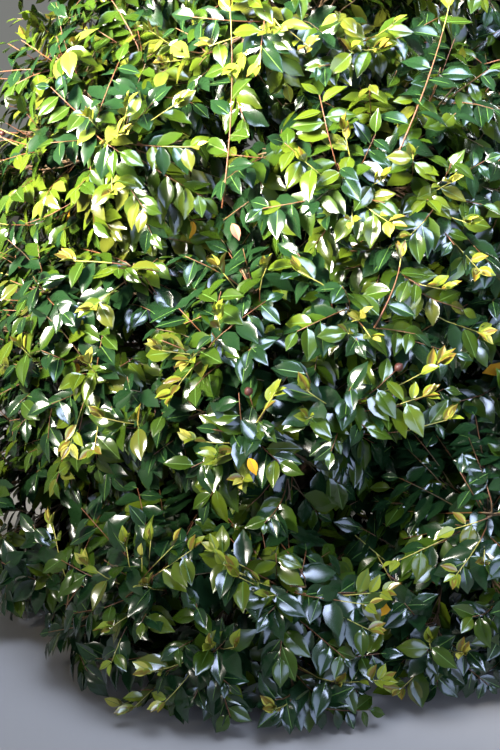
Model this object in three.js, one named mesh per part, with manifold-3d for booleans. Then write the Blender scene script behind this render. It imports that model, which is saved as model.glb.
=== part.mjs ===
// A camellia shrub rooted in the ground: one trunk, the boughs that it carries, and a mass of foliage at
// each tip. Sizes are in millimetres, with +Z up. The origin is the middle of the flat cut under the
// trunk, at ground level, and the side of the shrub that is seen first faces -Y.

import * as THREE from "three";
import { mergeVertices } from "three/addons/utils/BufferGeometryUtils.js";
import Module from "manifold-3d";

const wasm = await Module();
wasm.setup();

const { Vector3 } = THREE;
const degrees = THREE.MathUtils.degToRad;

// The whole shrub.
const SHRUB_HEIGHT = 2900;
const SHRUB_RADIUS = 1250;
const GROUND_CLEARANCE = 14; // under the lowest leaf
const SNUG_GAP = 0.3; // between pieces that meet
const GOLDEN_ANGLE = Math.PI * (3 - Math.sqrt(5));

// The trunk: its radii, its lean and the flare of its roots where they enter the ground.
const TRUNK_TOP = 0.735 * SHRUB_HEIGHT;
const TRUNK_LEAN = 60;
const TRUNK_SWAY = 26;
const TRUNK_FOOT_RADIUS = 43;
const TRUNK_TIP_RADIUS = 10;
const TRUNK_TAPER = 0.9; // under 1, so that most of the taper is low down
const FLARE_SPREAD = 0.75; // of the foot's radius, added at ground level
const FLARE_HEIGHT = 85; // over which it falls to about a third
const FLARE_RIDGES = 5;
const RIDGE_DEPTH = 0.3; // of the flare

// The boughs: each is one tapering limb that springs from the trunk and rises as it runs out.
const BOUGH_TIP_RADIUS = 7;
const BOUGH_TAPER = 0.018; // of the bough's length, added to its radius at the trunk
const BOUGH_COLLAR = 0.35; // of its radius, added where it joins
const COLLAR_LENGTH = 60;
const BOUGH_BEND = 0.45; // of the way out, where it bends most
const BOUGH_RISE = 0.62; // of its climb, done by then
const BOUGH_ARCH = 0.05; // of its length, by which it then stands higher still
const STEM_SHOWING = 50; // the mass's own stem, between its bough's tip and its core

// Rings of foliage masses. Heights are shares of the shrub's height and rings shares of its radius, from
// the axis to the middle of a mass, its heart. Reach is how far a mass spreads round the ring, outwards
// and upwards, and lift tilts its outward direction up from level. Each ring's boughs spring from its own
// stretch of trunk.
const TIERS = [
  { name: "skirt", count: 7, turn: -163, height: 0.11, ring: 0.72, lift: -26, reach: [650, 440, 560] },
  { name: "waist", count: 7, turn: -143, height: 0.335, ring: 0.68, lift: 4, reach: [640, 440, 600] },
  { name: "shoulder", count: 6, turn: -138, height: 0.558, ring: 0.62, lift: 16, reach: [700, 450, 620] },
  { name: "upper", count: 5, turn: -168, height: 0.748, ring: 0.47, lift: 36, reach: [640, 470, 600] },
  { name: "top", count: 1, turn: 0, height: 0.86, ring: 0, lift: 90, reach: [560, 405, 560] },
];
const JOINS = { skirt: [130, 450], waist: [450, 900], shoulder: [980, 1420], upper: [1540, 1880] };
const RING_WANDER = 0.05; // how far a heart strays from its ring, as a share of the shrub's radius
const HEIGHT_WANDER = 0.012; // and from its height, as a share of the shrub's height
const STAGGER = 0.024; // of the shrub's height, by which every other mass of a ring stands higher
const TURN_WANDER = 7; // and round the ring, in degrees
const WALL_GAP = 12; // between the spaces of neighbouring masses

// An open place low on the front, where the trunk shows between the skirt and the waist.
const HOLLOW_CENTRE = new Vector3(160, -920, 690);
const HOLLOW_REACH = new Vector3(240, 740, 200);

// One mass of foliage: a core, the leads that fan out of its stem, and leaves that each stand for a spray.
const FRINGE = 150; // depth of leaf outside the core
const SHARED_FRINGE = 4; // the same between neighbouring masses, which close up on each other
const LOW_FRINGE = 60; // and under the core, above the ground
const CORE_LEAST = 0.4; // of the way to the edge of the mass's space, where the fringe would leave less
const CORE_ROUGHNESS = 0.16; // of the core's reach, by which its corners stand back at the most
const LEADS = 8;
const LEAD_STARTS = [0.55, 0.95]; // of the way along the stem, from the first lead to the last
const LEAD_FAN = 84; // degrees, from the outward direction to the last lead
const LEAD_RADII = [6, 4];
const LEAD_SHORT = 105; // of the edge of the mass's space
const SPRAY_LEAVES = 3; // round the tip of each lead
const SPRAY_ANGLE = 66; // degrees, between a lead and its leaves
const SPRAY_STRAY = { hang: 0.3, turn: 20, angle: 9, length: 0.15 }; // how unlike each other the sprays are
const SPRAY_UPLOOK = 0.5; // how much a leaf's upper face looks up, next to outwards
const LEAF_LENGTH = 250;
const LEAF_SHORTENED = [1, 0.85, 0.7]; // lengths tried, for a leaf that would leave the mass's space
const LEAF_WIDTH = 0.56; // of its length
const LEAF_THICKNESS = 0.035; // of its length
const LEAF_FOLD = 0.3; // rise of each half, as a share of its width
const LEAF_WIDEST = 0.43; // of the way along
const LEAF_DROOP = 0.3; // how strongly gravity turns a leaf down

const BARK_COLOUR = 0x6f5a48;
const BOUGH_COLOUR = 0x7a5f49;
const FOLIAGE_COLOURS = {
  skirt: 0x1f4a22,
  waist: 0x2c5c25,
  shoulder: 0x3f7029,
  upper: 0x548130,
  top: 0x638c36,
};

// A repeatable share from 0 to 1 for a list of whole numbers, so that each twig keeps its own shape.
function chance(...numbers) {
  let mix = 0x811c9dc5;
  for (const number of numbers) {
    mix = Math.imul(mix ^ number, 0x01000193);
    mix ^= mix >>> 15;
  }
  mix = Math.imul(mix ^ (mix >>> 13), 0x5bd1e995);
  return ((mix ^ (mix >>> 16)) >>> 0) / 4294967296;
}

// The same, from -1 to 1.
const stray = (...numbers) => 2 * chance(...numbers) - 1;

// The curve of the trunk's middle: upright at the ground, then a slow sway towards its lean.
function trunkCurve() {
  return new THREE.CubicBezierCurve3(
    new Vector3(0, 0, 0),
    new Vector3(0, 0, 0.3 * TRUNK_TOP),
    new Vector3(TRUNK_LEAN + TRUNK_SWAY, TRUNK_SWAY, 0.62 * TRUNK_TOP),
    new Vector3(TRUNK_LEAN, -TRUNK_SWAY, TRUNK_TOP),
  );
}

// The trunk's radius at a height, with the flare of its roots, ridged round the foot, that dies away as it
// rises.
function trunkRadius(height, angle) {
  const up = THREE.MathUtils.clamp(height / TRUNK_TOP, 0, 1);
  const even = THREE.MathUtils.lerp(TRUNK_FOOT_RADIUS, TRUNK_TIP_RADIUS, Math.pow(up, TRUNK_TAPER));
  const ridges = 1 + RIDGE_DEPTH * Math.cos(FLARE_RIDGES * angle + 1);
  return even + TRUNK_FOOT_RADIUS * FLARE_SPREAD * ridges * Math.exp(-height / FLARE_HEIGHT);
}

// A round limb along a curve: a cylinder whose rings are laid on the curve, each as thick as radiusAt says
// there. Crowding over 1 draws the rings towards the foot.
function limbGeometry(curve, radiusAt, sides, steps, crowding = 1) {
  const geometry = new THREE.CylinderGeometry(1, 1, 1, sides, steps);
  const place = geometry.getAttribute("position");
  const sideways = acrossTo(curve.getPoint(1).sub(curve.getPoint(0)));
  for (let i = 0; i < place.count; i += 1) {
    const share = Math.pow(place.getY(i) + 0.5, crowding);
    const centre = curve.getPoint(share);
    const along = curve.getTangent(share);
    const side = sideways.clone().addScaledVector(along, -sideways.dot(along)).normalize();
    const front = new Vector3().crossVectors(side, along);
    const [x, y] = [place.getX(i), place.getZ(i)];
    const radius = x || y ? radiusAt(share, centre, Math.atan2(y, x)) : 0;
    centre.addScaledVector(side, x * radius).addScaledVector(front, y * radius);
    place.setXYZ(i, centre.x, centre.y, centre.z);
  }
  return geometry;
}

// A direction square to another.
function acrossTo(way) {
  const steep = Math.abs(way.z) > Math.hypot(way.x, way.y);
  const across = steep ? new Vector3(1, 0, 0) : new Vector3(0, 0, 1);
  return across.addScaledVector(way, -across.dot(way) / way.lengthSq()).normalize();
}

// The trunk, or the room that it takes up with a gap round it. Its foot is cut level with the ground.
function trunkSolid(trunk, gap) {
  const geometry = limbGeometry(trunk, (_, centre, angle) => trunkRadius(centre.z, angle) + gap, 15, 9, 1.7);
  const place = geometry.getAttribute("position");
  for (let i = 0; i < place.count; i += 1) if (place.getZ(i) < 1) place.setZ(i, 0);
  return solidOf(geometry);
}

// A shape with its seams closed: each corner is one point.
function closed(geometry) {
  const bare = new THREE.BufferGeometry().setAttribute("position", geometry.getAttribute("position"));
  return mergeVertices(bare.setIndex(geometry.index), 1e-3);
}

// The same as a solid that can be joined and cut.
function solidOf(geometry) {
  const merged = closed(geometry);
  const mesh = new wasm.Mesh({
    numProp: 3,
    vertProperties: new Float32Array(merged.getAttribute("position").array),
    triVerts: new Uint32Array(merged.index.array),
  });
  return new wasm.Manifold(mesh);
}

// A solid back as a shape that can be shown.
function geometryOf(solid) {
  const { vertProperties, triVerts } = solid.getMesh();
  const geometry = new THREE.BufferGeometry();
  geometry.setAttribute("position", new THREE.BufferAttribute(vertProperties, 3));
  geometry.setIndex(new THREE.BufferAttribute(triVerts, 1));
  geometry.computeVertexNormals();
  return geometry;
}

// The largest body of a solid, which leaves out loose scraps and sealed hollows.
function largestBody(solid) {
  const bodies = solid.decompose();
  return bodies.reduce((best, body) => (body.volume() > best.volume() ? body : best));
}

// The masses of one tier, each with its heart, its own three axes and the stretch of trunk that its bough
// leaves.
function massesOfTier(tier, tierIndex) {
  return Array.from({ length: tier.count }, (_, place) => {
    const wander = (kind) => (tier.ring > 0 ? stray(tierIndex, place, kind) : 0);
    const turn = degrees(tier.turn + (360 * place) / tier.count + TURN_WANDER * wander(1));
    const ring = SHRUB_RADIUS * (tier.ring + RING_WANDER * wander(2));
    const stagger = tier.ring > 0 ? STAGGER * (place % 2 ? -1 : 1) : 0;
    const height = SHRUB_HEIGHT * (tier.height + stagger + HEIGHT_WANDER * wander(3));
    const lift = degrees(tier.lift);
    const level = new Vector3(Math.cos(turn), Math.sin(turn), 0);
    const outward = level.clone().multiplyScalar(Math.cos(lift)).setZ(Math.sin(lift));
    const sideways = new Vector3(-Math.sin(turn), Math.cos(turn), 0);
    const upward = new Vector3().crossVectors(outward, sideways);
    const shift = (place * 3) % tier.count; // boughs of neighbouring masses spring from different heights
    return {
      name: tier.count > 1 ? `${tier.name}_${place + 1}` : tier.name,
      tier,
      key: 16 * tierIndex + place,
      heart: level.multiplyScalar(ring).setZ(height),
      axes: [sideways, outward, upward],
      join: tier.ring > 0 ? THREE.MathUtils.lerp(...JOINS[tier.name], shift / (tier.count - 1)) : TRUNK_TOP,
    };
  });
}

// The flat walls of a mass's space: half way to each neighbour, and just above the ground.
function wallsOf(mass, masses) {
  const walls = masses
    .filter((other) => other !== mass)
    .map((other) => {
      const way = other.heart.clone().sub(mass.heart);
      return { distance: (way.length() - WALL_GAP) / 2, normal: way.normalize(), fringe: SHARED_FRINGE };
    });
  const down = new Vector3(0, 0, -1);
  return [...walls, { distance: mass.heart.z - GROUND_CLEARANCE, normal: down, fringe: LOW_FRINGE }];
}

// How far a ray runs from a point before it enters the hollow, or Infinity.
function distanceToHollow(from, direction) {
  const offset = from.clone().sub(HOLLOW_CENTRE).divide(HOLLOW_REACH);
  const way = direction.clone().divide(HOLLOW_REACH);
  const a = way.dot(way);
  const b = offset.dot(way);
  const c = offset.dot(offset) - 1;
  const inner = b * b - a * c;
  return inner > 0 && b < 0 && c > 0 ? (-b - Math.sqrt(inner)) / a : Infinity;
}

// How far a mass's space reaches from its heart in a direction: to its rounded edge, a wall or the hollow.
// With a depth of 1 the reach is that of the core, which leaves the fringe of leaf free.
function reachAlong(mass, direction, depth = 0) {
  const bulge = mass.axes.map((axis, i) => direction.dot(axis) / mass.tier.reach[i]);
  const open = Math.min(1 / Math.hypot(...bulge), distanceToHollow(mass.heart, direction));
  const reaches = mass.walls.map(({ distance, normal, fringe }) => {
    const closing = direction.dot(normal);
    return closing > 0 ? (distance - depth * fringe) / closing : Infinity;
  });
  return Math.min(open - depth * FRINGE, ...reaches);
}

function coreReach(mass, direction) {
  return Math.max(reachAlong(mass, direction, 1), CORE_LEAST * reachAlong(mass, direction));
}

function inSpace(mass, point) {
  const way = point.clone().sub(mass.heart);
  const length = way.length();
  return length < 1 || length <= reachAlong(mass, way.divideScalar(length)) + SNUG_GAP;
}

// The direction of one lead: they fan out evenly round the mass's outward direction, each a golden angle
// on.
function leadDirection(mass, lead) {
  const [sideways, outward, upward] = mass.axes;
  const share = (lead + 0.5) / LEADS;
  const outwards = 1 - share * (1 - Math.cos(degrees(LEAD_FAN)));
  const round = lead * GOLDEN_ANGLE + 2 * Math.PI * chance(mass.key, 7);
  const spread = Math.sqrt(1 - outwards * outwards);
  return new Vector3()
    .addScaledVector(outward, outwards)
    .addScaledVector(sideways, spread * Math.cos(round))
    .addScaledVector(upward, spread * Math.sin(round));
}

// The bough's curve: it springs from the trunk's middle, climbs, and levels out towards the mass that it
// carries.
function boughCurve(mass, trunk) {
  const start = trunk.getPointAt(mass.join / TRUNK_TOP);
  const inward = mass.axes[1].clone().negate();
  const tip = mass.heart.clone().addScaledVector(inward, coreReach(mass, inward) + STEM_SHOWING);
  const bend = start.clone().lerp(tip, BOUGH_BEND);
  bend.z = THREE.MathUtils.lerp(start.z, tip.z, BOUGH_RISE) + BOUGH_ARCH * start.distanceTo(tip);
  return new THREE.QuadraticBezierCurve3(start, bend, tip);
}

// A bough, or its room: it tapers evenly, with a collar where it leaves the trunk.
function boughSolid(curve, gap) {
  const length = curve.getLength();
  const radiusAt = (share) => {
    const even = BOUGH_TIP_RADIUS + BOUGH_TAPER * length * (1 - share);
    return even * (1 + BOUGH_COLLAR * Math.exp((-share * length) / COLLAR_LENGTH)) + gap;
  };
  return solidOf(limbGeometry(curve, radiusAt, 6, 4));
}

// A straight three-sided twig between two points.
function twigSolid(from, to, [fromRadius, toRadius]) {
  const curve = new THREE.LineCurve3(from, to);
  const radiusAt = (share) => THREE.MathUtils.lerp(fromRadius, toRadius, share);
  return solidOf(limbGeometry(curve, radiusAt, 3, 1));
}

// One leaf of six faces, made of a sphere of three sides: its poles are the leaf's root and tip, and round
// its middle stand the keel and both edges, which are folded up from the midrib.
function leafGeometry(root, direction, facing, length) {
  const geometry = new THREE.SphereGeometry(1, 3, 2);
  const place = geometry.getAttribute("position");
  const across = new Vector3().crossVectors(direction, facing).normalize();
  const normal = new Vector3().crossVectors(across, direction);
  for (let i = 0; i < place.count; i += 1) {
    const pole = Math.round(place.getY(i));
    const side = pole ? 0 : Math.round(place.getZ(i)) * 0.5 * LEAF_WIDTH;
    const along = pole ? (1 - pole) / 2 : LEAF_WIDEST;
    const keel = !pole && side === 0 ? -LEAF_THICKNESS : 0;
    const point = root.clone().addScaledVector(direction, along * length);
    point.addScaledVector(across, side * length);
    point.addScaledVector(normal, (keel + Math.abs(side) * LEAF_FOLD) * length);
    place.setXYZ(i, point.x, point.y, point.z);
  }
  return geometry;
}

function cornersOf(geometry) {
  const place = geometry.getAttribute("position");
  return Array.from({ length: place.count }, (_, i) => new Vector3().fromBufferAttribute(place, i));
}

// The core of a mass, a rough lump that its twigs and leaves stand out of.
function coreSolid(mass) {
  const geometry = closed(new THREE.IcosahedronGeometry(1, 1));
  const place = geometry.getAttribute("position");
  cornersOf(geometry).forEach((corner, i) => {
    const direction = corner.normalize();
    const reach = coreReach(mass, direction) * (1 - CORE_ROUGHNESS * chance(mass.key, 99, i));
    place.setXYZ(i, ...direction.multiplyScalar(reach).add(mass.heart));
  });
  return solidOf(geometry);
}

// The spray of leaves round the tip of one lead: one hangs, the others stand to its sides, and all show
// their upper faces outwards. A leaf that would leave the mass's space is tried shorter, and then left
// out.
function sprayOfLead(mass, lead, from, tip) {
  const along = tip.clone().sub(from).normalize();
  const facing = along.clone().add(new Vector3(0, 0, SPRAY_UPLOOK));
  const hanging = new Vector3(stray(mass.key, lead, 1), stray(mass.key, lead, 2), 0);
  hanging.multiplyScalar(SPRAY_STRAY.hang).setZ(-1);
  hanging.addScaledVector(along, -hanging.dot(along)).normalize();
  return Array.from({ length: SPRAY_LEAVES }, (_, place) => {
    const round = degrees((360 * place) / SPRAY_LEAVES + SPRAY_STRAY.turn * stray(mass.key, lead, place, 3));
    const open = degrees(SPRAY_ANGLE + SPRAY_STRAY.angle * stray(mass.key, lead, place, 4));
    const direction = hanging.clone().applyAxisAngle(along, round).multiplyScalar(Math.sin(open));
    direction.addScaledVector(along, Math.cos(open));
    direction.z -= LEAF_DROOP * chance(mass.key, lead, place, 5);
    direction.normalize();
    const root = tip.clone().addScaledVector(along, (-0.5 - 2 * place) * LEAD_RADII[1]);
    const full = LEAF_LENGTH * (1 + SPRAY_STRAY.length * stray(mass.key, lead, place, 6));
    const tries = LEAF_SHORTENED.map((share) => leafGeometry(root, direction, facing, full * share));
    return tries.find((leaf) => cornersOf(leaf).every((corner) => inSpace(mass, corner)));
  }).filter(Boolean);
}

// A mass of foliage as one solid, clear of every limb.
function massSolid(mass, limb, limbRadius, limbs) {
  const stemFoot = limb.getPoint(1).addScaledVector(limb.getTangent(1), SNUG_GAP);
  const stem = twigSolid(stemFoot, mass.heart, [limbRadius, LEAD_RADII[0]]);
  const pieces = [coreSolid(mass), stem];
  for (let lead = 0; lead < LEADS; lead += 1) {
    const direction = leadDirection(mass, lead);
    const reach = reachAlong(mass, direction);
    const length = Math.max(reach - LEAD_SHORT, CORE_LEAST * reach);
    const tip = mass.heart.clone().addScaledVector(direction, length);
    const from = stemFoot.clone().lerp(mass.heart, THREE.MathUtils.lerp(...LEAD_STARTS, lead / (LEADS - 1)));
    const twig = twigSolid(from, tip, LEAD_RADII);
    if (!twig.intersect(limbs).isEmpty()) continue;
    pieces.push(twig);
    const leaves = sprayOfLead(mass, lead, from, tip).map(solidOf);
    pieces.push(...leaves.filter((leaf) => leaf.intersect(limbs).isEmpty()));
  }
  return largestBody(wasm.Manifold.union(pieces).subtract(limbs)).simplify(SNUG_GAP / 3);
}

function meshOf(name, geometry, colour, roughness) {
  const material = new THREE.MeshStandardMaterial({ color: colour, roughness, metalness: 0 });
  const mesh = new THREE.Mesh(geometry, material);
  mesh.name = name;
  return mesh;
}

const shrub = new THREE.Group();
const trunk = trunkCurve();
shrub.add(meshOf("trunk", geometryOf(trunkSolid(trunk, 0)), BARK_COLOUR, 0.85));

const masses = TIERS.flatMap(massesOfTier);
masses.forEach((mass) => {
  mass.walls = wallsOf(mass, masses);
});

// Each bough is cut clear of the trunk and of the boughs before it. The trunk's own tip carries the top
// mass.
let limbs = trunkSolid(trunk, SNUG_GAP);
for (const mass of masses.filter(({ tier }) => tier.ring > 0)) {
  mass.bough = boughCurve(mass, trunk);
  const solid = largestBody(boughSolid(mass.bough, 0).subtract(limbs));
  shrub.add(meshOf(`bough_${mass.name}`, geometryOf(solid), BOUGH_COLOUR, 0.8));
  limbs = limbs.add(boughSolid(mass.bough, SNUG_GAP));
}

for (const mass of masses) {
  const solid = massSolid(mass, mass.bough ?? trunk, mass.bough ? BOUGH_TIP_RADIUS : TRUNK_TIP_RADIUS, limbs);
  shrub.add(meshOf(`foliage_${mass.name}`, geometryOf(solid), FOLIAGE_COLOURS[mass.tier.name], 0.45));
}

export default shrub;
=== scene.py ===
# %% [markdown]
# # A camellia shrub
#
# A camellia is an evergreen shrub with leathery leaves, dark and glossy above. This one is taller than a
# person and leafy down to the ground, so almost everything that shows is leaves, with reddish twigs between
# them and bright new growth at the tips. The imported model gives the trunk, the boughs and one solid for each
# mass of foliage. Here each mass grows real twigs and leaves inside the space that its solid keeps to.

import math

import bmesh
import bpy
import numpy as np
from mathutils import Matrix, Vector, noise


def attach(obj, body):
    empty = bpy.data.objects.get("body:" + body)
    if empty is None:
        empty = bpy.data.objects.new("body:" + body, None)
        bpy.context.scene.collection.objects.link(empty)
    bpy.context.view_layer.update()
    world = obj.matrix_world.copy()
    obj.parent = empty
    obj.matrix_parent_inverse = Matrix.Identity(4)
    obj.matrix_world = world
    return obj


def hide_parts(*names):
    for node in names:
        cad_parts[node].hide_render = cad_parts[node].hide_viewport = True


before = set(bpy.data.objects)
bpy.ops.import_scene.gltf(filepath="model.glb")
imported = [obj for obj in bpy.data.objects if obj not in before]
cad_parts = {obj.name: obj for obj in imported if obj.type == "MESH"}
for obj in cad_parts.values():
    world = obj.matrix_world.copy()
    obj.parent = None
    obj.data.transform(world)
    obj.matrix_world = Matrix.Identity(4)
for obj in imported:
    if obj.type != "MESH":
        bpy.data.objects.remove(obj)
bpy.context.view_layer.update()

# %% [markdown]
# ## The rule that the shrub grows by
#
# The solids were grown by a rule: rings of masses round a trunk, each with a heart, three axes of its own and
# flat walls half way to its neighbours. The same rule is written again here, in metres, so that finer twigs
# can carry on from where the solids stop. Every random choice is worked out from the twig's own numbers,
# so one twig can change without disturbing the others.

# %% Sizes of the shrub, in metres
SHRUB_HEIGHT = 2.9
SHRUB_RADIUS = 1.25
GROUND_CLEARANCE = 0.014
GOLDEN_ANGLE = math.pi * (3 - math.sqrt(5))

TRUNK_TOP = 0.735 * SHRUB_HEIGHT
TRUNK_LEAN, TRUNK_SWAY = 0.060, 0.026
TRUNK_FOOT_RADIUS, TRUNK_TIP_RADIUS = 0.043, 0.010
TRUNK_TAPER = 0.9
FLARE_SPREAD, FLARE_HEIGHT, FLARE_RIDGES, RIDGE_DEPTH = 0.75, 0.085, 5, 0.3

BOUGH_TIP_RADIUS, BOUGH_TAPER = 0.007, 0.018
BOUGH_COLLAR, COLLAR_LENGTH = 0.35, 0.060
BOUGH_BEND, BOUGH_RISE, BOUGH_ARCH = 0.45, 0.62, 0.05
STEM_SHOWING = 0.050

TIERS = [
    dict(name="skirt", count=7, turn=-163, height=0.11, ring=0.72, lift=-26, reach=(0.650, 0.440, 0.560)),
    dict(name="waist", count=7, turn=-143, height=0.335, ring=0.68, lift=4, reach=(0.640, 0.440, 0.600)),
    dict(name="shoulder", count=6, turn=-138, height=0.558, ring=0.62, lift=16, reach=(0.700, 0.450, 0.620)),
    dict(name="upper", count=5, turn=-168, height=0.748, ring=0.47, lift=36, reach=(0.640, 0.470, 0.600)),
    dict(name="top", count=1, turn=0, height=0.86, ring=0, lift=90, reach=(0.560, 0.405, 0.560)),
]
JOINS = dict(skirt=(0.13, 0.45), waist=(0.45, 0.90), shoulder=(0.98, 1.42), upper=(1.54, 1.88))
RING_WANDER, HEIGHT_WANDER, STAGGER, TURN_WANDER = 0.05, 0.012, 0.024, 7
WALL_GAP = 0.012
HOLLOW_CENTRE = np.array((0.160, -0.920, 0.690))
HOLLOW_REACH = np.array((0.240, 0.740, 0.200))
FRINGE, SHARED_FRINGE, LOW_FRINGE, CORE_LEAST = 0.150, 0.004, 0.060, 0.4
LEADS, LEAD_FAN, LEAD_SHORT, LEAD_STARTS = 8, 84, 0.105, (0.55, 0.95)


# %% Chance that repeats
def chance(*numbers):
    """A repeatable share from 0 to 1 for a list of whole numbers, as in the solids."""
    mix = 0x811C9DC5
    for number in numbers:
        mix = ((mix ^ number) * 0x01000193) & 0xFFFFFFFF
        mix ^= mix >> 15
    mix = ((mix ^ (mix >> 13)) * 0x5BD1E995) & 0xFFFFFFFF
    return (mix ^ (mix >> 16)) / 4294967296


def stray(*numbers):
    """The same, from -1 to 1."""
    return 2 * chance(*numbers) - 1


def unit(way):
    """A direction, or a list of them, made one long."""
    return way / np.linalg.norm(way, axis=-1, keepdims=True)


def lerp(start, end, share):
    return start + (end - start) * share


print("chance(1, 2, 3) is", round(chance(1, 2, 3), 6))


# %% The masses and their spaces
class Mass:
    """One mass of foliage: its heart, its sideways, outward and upward axes, and the walls of its space."""

    def __init__(self, tier_index, place):
        tier = TIERS[tier_index]
        in_ring = tier["ring"] > 0
        wander = [stray(tier_index, place, kind) if in_ring else 0 for kind in (1, 2, 3)]
        turn = math.radians(tier["turn"] + 360 * place / tier["count"] + TURN_WANDER * wander[0])
        ring = SHRUB_RADIUS * (tier["ring"] + RING_WANDER * wander[1])
        stagger = (-STAGGER if place % 2 else STAGGER) if in_ring else 0
        height = SHRUB_HEIGHT * (tier["height"] + stagger + HEIGHT_WANDER * wander[2])
        lift = math.radians(tier["lift"])
        level = np.array((math.cos(turn), math.sin(turn), 0))
        outward = level * math.cos(lift) + np.array((0, 0, math.sin(lift)))
        sideways = np.array((-math.sin(turn), math.cos(turn), 0))
        self.tier, self.in_ring = tier["name"], in_ring
        self.name = f"{self.tier}_{place + 1}" if tier["count"] > 1 else self.tier
        self.key = 16 * tier_index + place
        self.heart = level * ring + np.array((0, 0, height))
        self.axes = np.array((sideways, outward, np.cross(outward, sideways)))
        self.spread = np.array(tier["reach"])
        if in_ring:
            shift = (place * 3) % tier["count"]
            self.join = lerp(*JOINS[self.tier], shift / (tier["count"] - 1))

    def set_walls(self, masses):
        ways = np.array([other.heart - self.heart for other in masses if other is not self])
        lengths = np.linalg.norm(ways, axis=1)
        down = np.array((0, 0, -1.0))
        self.normals = np.vstack((ways / lengths[:, None], down))
        self.distances = np.append((lengths - WALL_GAP) / 2, self.heart[2] - GROUND_CLEARANCE)
        self.fringes = np.append(np.full(len(ways), SHARED_FRINGE), LOW_FRINGE)
        self.shared = np.append(np.ones(len(ways)), 0)

    def reach_along(self, ways, depth=0, mingling=0.0, proud=0.0):
        """How far the space reaches from the heart in each direction, and with a depth of 1 its core.

        Leaves of neighbours may mingle a little across their shared wall, and young shoots stand proud."""
        ways = np.atleast_2d(ways)
        bulge = ways @ self.axes.T / self.spread
        edge = 1 / np.linalg.norm(bulge, axis=1) + proud
        open_edge = np.minimum(edge, self.before_hollow(ways)) - depth * FRINGE
        closing = ways @ self.normals.T
        with np.errstate(divide="ignore", invalid="ignore"):
            near = self.distances - depth * self.fringes + mingling * self.shared
            walls = np.where(closing > 0, near / closing, np.inf)
        return np.minimum(open_edge, walls.min(axis=1))

    def before_hollow(self, ways):
        """How far rays run from the heart before they enter the open place at the front."""
        offset, way = (self.heart - HOLLOW_CENTRE) / HOLLOW_REACH, ways / HOLLOW_REACH
        a, b, c = (way * way).sum(1), way @ offset, offset @ offset - 1
        inner = b * b - a * c
        enters = (inner > 0) & (b < 0) & (c > 0)
        return np.where(enters, (-b - np.sqrt(np.maximum(inner, 0))) / a, np.inf)

    def holds(self, points, mingling=0.0, proud=0.0):
        """Which points lie inside the space."""
        ways = points - self.heart
        lengths = np.maximum(np.linalg.norm(ways, axis=1), 1e-6)
        return lengths <= self.reach_along(ways / lengths[:, None], 0, mingling, proud)


masses = [Mass(i, place) for i, tier in enumerate(TIERS) for place in range(tier["count"])]
for mass in masses:
    mass.set_walls(masses)
print("masses:", len(masses), "the first has its heart at", masses[0].heart.round(3))


# %% The limbs' curves
def bezier(points, shares):
    """Points on a Bezier curve of two, three or four handles."""
    t = np.atleast_1d(shares)[:, None]
    order = len(points) - 1
    weights = [math.comb(order, i) * t**i * (1 - t) ** (order - i) for i in range(order + 1)]
    return sum(weight * np.array(point) for weight, point in zip(weights, points))


def tangents(path):
    return unit(np.gradient(path, axis=0))


TRUNK_HANDLES = [
    (0, 0, 0),
    (0, 0, 0.3 * TRUNK_TOP),
    (TRUNK_LEAN + TRUNK_SWAY, TRUNK_SWAY, 0.62 * TRUNK_TOP),
    (TRUNK_LEAN, -TRUNK_SWAY, TRUNK_TOP),
]


def along_trunk(share):
    """The point that lies a share of the trunk's length up its middle."""
    path = bezier(TRUNK_HANDLES, np.linspace(0, 1, 201))
    run = np.concatenate(([0], np.cumsum(np.linalg.norm(np.diff(path, axis=0), axis=1))))
    return np.array([np.interp(share * run[-1], run, path[:, i]) for i in range(3)])


def bough_handles(mass):
    """A bough springs from the trunk's middle, climbs, and levels out towards its mass."""
    start, inward = along_trunk(mass.join / TRUNK_TOP), -mass.axes[1]
    core = max(mass.reach_along(inward, 1)[0], CORE_LEAST * mass.reach_along(inward)[0])
    tip = mass.heart + inward * (core + STEM_SHOWING)
    bend = lerp(start, tip, BOUGH_BEND)
    bend[2] = lerp(start[2], tip[2], BOUGH_RISE) + BOUGH_ARCH * np.linalg.norm(tip - start)
    return [start, bend, tip]


def trunk_radius(height, angle):
    even = lerp(TRUNK_FOOT_RADIUS, TRUNK_TIP_RADIUS, np.clip(height / TRUNK_TOP, 0, 1) ** TRUNK_TAPER)
    ridges = 1 + RIDGE_DEPTH * np.cos(FLARE_RIDGES * angle + 1)
    return even + TRUNK_FOOT_RADIUS * FLARE_SPREAD * ridges * np.exp(-height / FLARE_HEIGHT)


for mass in masses:
    mass.limb = bough_handles(mass) if mass.in_ring else TRUNK_HANDLES
print("the first bough ends at", masses[0].limb[-1].round(3))

# %% [markdown]
# ## Finishes
#
# A leaf of a camellia has a waxy skin, so its colour is deep and its shine is sharp. The colour has no
# pattern that shows from here: what shows is that leaves of different ages differ. So each age has one plain
# colour, dealt out spray by spray, with a paler slot for the midrib. The ages are also dealt darker low down
# and lighter high up and on the side the daylight comes from, which is painted shade and painted light.
# Bark is matt and mottled, and gets its pattern from noise on Object coordinates, sized in real millimetres.


# %% Colours and a helper for nodes
def linear(code):
    """An sRGB hex colour as the linear colour that shaders take."""
    shares = [int(code[i : i + 2], 16) / 255 for i in (1, 3, 5)]
    return tuple(s / 12.92 if s <= 0.04045 else ((s + 0.055) / 1.055) ** 2.4 for s in shares) + (1.0,)


def add_node(material, kind, settings=(), inputs=(), links=()):
    """Adds a node with its settings and input values, and links other nodes' outputs into it."""
    tree = material.node_tree
    node = tree.nodes.new(kind)
    for name, value in dict(settings).items():
        setattr(node, name, value)
    for name, value in dict(inputs).items():
        node.inputs[name].default_value = value
    for name, source in dict(links).items():
        tree.links.new(source, node.inputs[name])
    return node


def new_material(name):
    material = bpy.data.materials.new(name)
    material.use_nodes = True
    return material, material.node_tree.nodes["Principled BSDF"]


WAX_ROUGHNESS, WAX_IOR = 0.19, 1.58


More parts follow.
